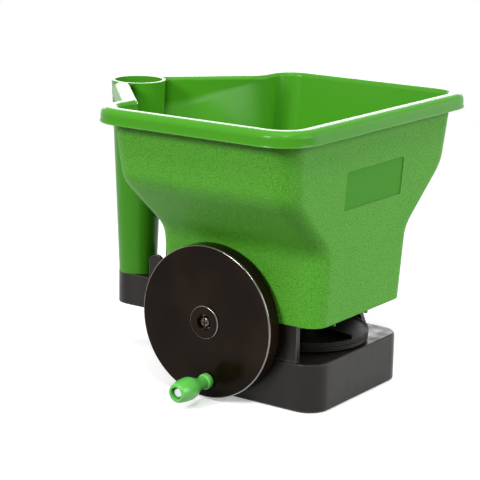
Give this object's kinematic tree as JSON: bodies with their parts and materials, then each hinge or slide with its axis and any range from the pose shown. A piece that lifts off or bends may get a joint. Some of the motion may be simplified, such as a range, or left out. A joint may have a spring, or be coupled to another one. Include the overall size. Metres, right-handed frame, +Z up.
{
  "type": "hand spreader",
  "caption": "Hand-cranked broadcast spreader: open hopper with rim and tubular handle on a base, with a geared crank wheel, throwing disc and trigger-pulled shutter.",
  "frame": {"origin": "on the ground under the middle of the overall box", "axes": "+Z up, -Y the throwing side with the label panel, +Y the handle, crank wheel on -X"},
  "size_m": [0.24, 0.2398, 0.205],
  "materials": {
    "green_plastic": "fine moulded grain outside, smooth inside",
    "green_knob": "smooth moulded",
    "black_plastic": "satin moulded",
    "black_wheel": "smooth, slightly glossy",
    "steel": "zinc plated",
    "dark_steel": "dark zinc plated",
    "spring_steel": "drawn wire",
    "ivory_plastic": "smooth moulded"
  },
  "bodies": {
    "body": {"hopper": "green_plastic", "drive_housing": "black_plastic", "base_tray": "black_plastic", "case_screws": "steel", "handle_screw": "steel", "wheel_washer": "dark_steel", "wheel_screw": "dark_steel", "shaft_bushes": "ivory_plastic", "gear_cover": "black_plastic", "cover_screws": "steel", "shutter_guide": "ivory_plastic", "guide_screws": "steel", "trigger_pin": "steel", "return_spring": "spring_steel"},
    "wheel": {"crank_wheel": "black_wheel", "knob_pin": "steel"},
    "knob": {"crank_knob": "green_knob"},
    "lay": {"pinion": "ivory_plastic", "lay_shaft": "steel", "lay_clip": "steel", "bevel_pinion": "ivory_plastic"},
    "spinner": {"throwing_disc": "black_plastic", "disc_shaft": "steel", "disc_clip": "steel", "disc_gear": "ivory_plastic", "agitator": "black_plastic"},
    "trigger_lever": {"trigger": "black_plastic"},
    "shutter_plate": {"shutter": "black_plastic"}
  },
  "joints": [
    {"name": "wheel_spin", "type": "hinge", "parent": "body", "child": "wheel", "pos_m": [-0.066, -0.01752, 0.0553], "axis": [1, 0, 0], "continuous": true},
    {"name": "knob_spin", "type": "hinge", "parent": "wheel", "child": "knob", "pos_m": [-0.09, -0.02046, 0.0134], "axis": [1, 0, 0], "continuous": true},
    {"name": "lay_spin", "type": "hinge", "parent": "body", "child": "lay", "pos_m": [-0.03, -0.05502, 0.0553], "axis": [1, 0, 0], "continuous": true},
    {"name": "disc_spin", "type": "hinge", "parent": "body", "child": "spinner", "pos_m": [0, -0.05502, 0.05], "axis": [0, 0, 1], "continuous": true},
    {"name": "trigger_hinge", "type": "hinge", "parent": "body", "child": "trigger_lever", "pos_m": [0, 0.06588, 0.146], "axis": [1, 0, 0], "range_deg": [0, 9.1], "stiffness_Nm_per_rad": 1.55, "springref_deg": -4.35},
    {"name": "shutter_slide", "type": "slide", "parent": "body", "child": "shutter_plate", "axis": [0, 1, 0], "range_m": [0, 0.0126], "deforming": ["return_spring"]}
  ],
  "couplings": [
    {"joint": "lay_spin", "follows": "wheel_spin", "ratio": 4.5714},
    {"joint": "disc_spin", "follows": "wheel_spin", "ratio": -4.5714},
    {"joint": "shutter_slide", "follows": "trigger_hinge", "m_per_rad": 0.0787}
  ]
}
